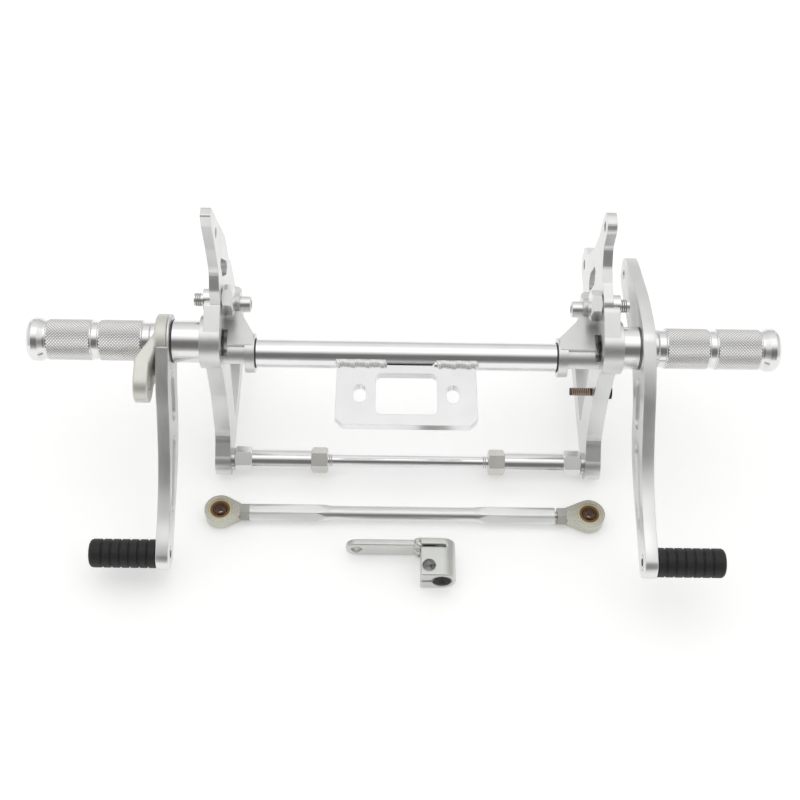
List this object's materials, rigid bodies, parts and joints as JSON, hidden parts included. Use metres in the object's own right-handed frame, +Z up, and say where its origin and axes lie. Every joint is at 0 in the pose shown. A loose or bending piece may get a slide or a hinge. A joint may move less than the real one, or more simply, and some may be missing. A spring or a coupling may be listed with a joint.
{
  "type": "rear set footrest",
  "caption": "Pair of slotted side plates joined by a tubular cross rail and a tie rod, with knurled pegs, gear and brake levers, a linkage rod and a splined shaft arm.",
  "frame": {"origin": "middle of the hanger plate's top face, midway between its two slots", "axes": "+X across the bike towards the brake side (right in the picture), +Y towards the rear of the bike, +Z up"},
  "size_m": [0.4677, 0.2275, 0.1955],
  "materials": {
    "machined_aluminium": "brushed and polished",
    "polished_metal": "polished",
    "peg_aluminium": "knurled satin",
    "cast_aluminium": "matt cast",
    "steel": "plated",
    "copper_screw": "plated thread",
    "bronze": "plain bearing",
    "rubber": "ribbed matt"
  },
  "bodies": {
    "frame": {"cross_rail": "polished_metal", "left_end_bracket": "machined_aluminium", "right_end_bracket": "machined_aluminium", "left_side_plate": "machined_aluminium", "right_side_plate": "machined_aluminium", "left_arm_bolt": "steel", "right_arm_bolt": "steel", "left_arm_nut": "machined_aluminium", "right_arm_nut": "machined_aluminium", "left_rail_screw": "steel", "right_rail_screw": "steel", "left_peg_bolt": "steel", "right_peg_bolt": "steel", "left_pivot_sleeve": "machined_aluminium", "right_pivot_sleeve": "machined_aluminium", "left_lever_bush": "bronze", "right_lever_bush": "bronze", "left_peg_washer": "steel", "right_peg_washer": "steel", "left_peg": "peg_aluminium", "right_peg": "peg_aluminium", "stop_screw": "copper_screw", "stop_buffer": "rubber", "tie_bar": "polished_metal", "left_tie_sleeve": "machined_aluminium", "right_tie_sleeve": "machined_aluminium", "left_tie_nut": "steel", "right_tie_nut": "steel", "left_tie_screw": "steel", "right_tie_screw": "steel", "tie_washers": "steel", "link_rod": "machined_aluminium", "left_rod_end": "steel", "right_rod_end": "steel", "left_link_nut": "steel", "right_link_nut": "steel", "left_race": "bronze", "right_race": "bronze", "shaft_arm": "cast_aluminium"},
    "gear_lever": {"gear_lever": "machined_aluminium", "shift_arm": "cast_aluminium", "left_toe_screw": "steel", "left_toe_rubber": "rubber"},
    "brake_lever": {"brake_lever": "machined_aluminium", "right_toe_screw": "steel", "right_toe_rubber": "rubber"},
    "left_ball": {"left_ball": "steel"},
    "right_ball": {"right_ball": "steel"}
  },
  "joints": [
    {"name": "gear_lever_pivot", "type": "hinge", "parent": "frame", "child": "gear_lever", "pos_m": [-0.149, 0.03155, 0.0085], "axis": [-1, 0, 0], "range_deg": [-6, 40]},
    {"name": "brake_lever_pivot", "type": "hinge", "parent": "frame", "child": "brake_lever", "pos_m": [0.149, 0.03155, 0.0085], "axis": [-1, 0, 0], "range_deg": [-15, 35]},
    {"name": "left_ball_swivel", "type": "hinge", "parent": "frame", "child": "left_ball", "pos_m": [-0.1198, -0.03345, -0.0895], "axis": [1, 0, 0], "range_deg": [-12, 12]},
    {"name": "right_ball_swivel", "type": "hinge", "parent": "frame", "child": "right_ball", "pos_m": [0.1222, -0.03345, -0.0895], "axis": [1, 0, 0], "range_deg": [-12, 12]}
  ]
}
